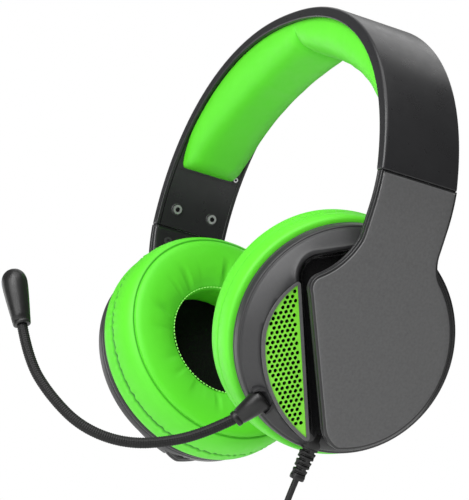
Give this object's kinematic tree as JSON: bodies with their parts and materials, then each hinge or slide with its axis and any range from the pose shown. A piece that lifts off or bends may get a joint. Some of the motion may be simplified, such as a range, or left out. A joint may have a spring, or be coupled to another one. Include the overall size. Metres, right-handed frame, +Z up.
{
  "type": "gaming headset",
  "caption": "Over-ear headset with padded headband, sliding arms, tilting cups, ring cushions, crescent grilles and a flexible boom microphone on one side.",
  "frame": {"origin": "middle of the headband pad's underside, where the headset rests on a head or a stand", "axes": "+Z up, +X towards the wearer's left ear (the side with the microphone and cable), -Y the way the wearer looks"},
  "size_m": [0.2, 0.1725, 0.3298],
  "materials": {
    "satin_black_plastic": "satin moulded, light sheen",
    "textured_black_plastic": "fine spark-eroded texture",
    "green_leatherette": "soft artificial leather, fine grain",
    "green_grille": "painted satin",
    "black_cloth": "thin open knit",
    "steel": "bright zinc plated",
    "inner_plastic": "plain moulded",
    "clear_film": "thin film",
    "circuit_board": "solder mask",
    "wire_jacket": "smooth jacket",
    "soft_touch_black": "soft-touch paint, light sheen",
    "black_rubber": "matt rubber",
    "plug_metal": "gold-coloured plating"
  },
  "bodies": {
    "headband": {"band_shell": "satin_black_plastic", "band_spring": "steel", "crossover_wire": "wire_jacket", "band_liner": "satin_black_plastic", "liner_screws": "steel", "left_pad": "green_leatherette", "right_pad": "green_leatherette", "left_slider_cover": "satin_black_plastic", "right_slider_cover": "satin_black_plastic", "slider_cover_screws": "steel"},
    "left_arm": {"left_arm_cover": "textured_black_plastic", "left_arm_inner_plate": "textured_black_plastic", "left_arm_screws": "steel", "left_slider_tongue": "steel"},
    "right_arm": {"right_arm_cover": "textured_black_plastic", "right_arm_inner_plate": "textured_black_plastic", "right_arm_screws": "steel", "right_slider_tongue": "steel"},
    "left_gimbal": {"left_gimbal": "inner_plastic"},
    "right_gimbal": {"right_gimbal": "inner_plastic"},
    "left_cup": {"left_baffle": "textured_black_plastic", "left_baffle_screws": "steel", "left_circuit_board": "circuit_board", "left_cup_shell": "textured_black_plastic", "left_cushion": "green_leatherette", "left_cushion_ring": "inner_plastic", "left_driver_basket": "inner_plastic", "left_driver_cloth": "black_cloth", "left_driver_diaphragm": "clear_film", "left_driver_magnet": "steel", "left_grille": "green_grille", "left_grille_cloth": "black_cloth", "left_grille_frame": "textured_black_plastic", "mic_socket": "inner_plastic", "strain_relief": "black_rubber", "cable_lead": "black_rubber", "cable_coil": "black_rubber", "cable_tie": "black_rubber", "cable_tail": "black_rubber", "plug_grip": "black_rubber", "plug_pin": "plug_metal"},
    "right_cup": {"right_baffle": "textured_black_plastic", "right_baffle_screws": "steel", "right_cup_shell": "textured_black_plastic", "right_cushion": "green_leatherette", "right_cushion_ring": "inner_plastic", "right_driver_basket": "inner_plastic", "right_driver_cloth": "black_cloth", "right_driver_diaphragm": "clear_film", "right_driver_magnet": "steel", "right_grille": "green_grille", "right_grille_cloth": "black_cloth", "right_grille_frame": "textured_black_plastic"},
    "mic_boom": {"mic_sleeve": "soft_touch_black", "mic_gooseneck": "black_rubber", "mic_housing": "soft_touch_black", "mic_element": "steel"}
  },
  "joints": [
    {"name": "left_height", "type": "slide", "parent": "headband", "child": "left_arm", "axis": [0.2423, 0, -0.9702], "range_m": [0, 0.02]},
    {"name": "right_height", "type": "slide", "parent": "headband", "child": "right_arm", "axis": [-0.2423, 0, -0.9702], "range_m": [0, 0.02]},
    {"name": "left_tilt", "type": "hinge", "parent": "left_arm", "child": "left_gimbal", "pos_m": [0.07439, -0.0025, -0.13335], "axis": [0, 1, 0], "range_deg": [-5, 5]},
    {"name": "right_tilt", "type": "hinge", "parent": "right_arm", "child": "right_gimbal", "pos_m": [-0.07439, -0.0025, -0.13335], "axis": [0, 1, 0], "range_deg": [-5, 5]},
    {"name": "left_swivel", "type": "hinge", "parent": "left_gimbal", "child": "left_cup", "pos_m": [0.07439, -0.0025, -0.13335], "axis": [0.2907, 0, 0.9568], "range_deg": [-1.1, 9.3]},
    {"name": "right_swivel", "type": "hinge", "parent": "right_gimbal", "child": "right_cup", "pos_m": [-0.07439, -0.0025, -0.13335], "axis": [-0.2907, 0, 0.9568], "range_deg": [-4, 6.4]},
    {"name": "mic_swing", "type": "hinge", "parent": "left_cup", "child": "mic_boom", "pos_m": [0.05766, -0.03136, -0.16224], "axis": [-0.9514, 0.1063, 0.2891], "range_deg": [-20, 40]}
  ]
}
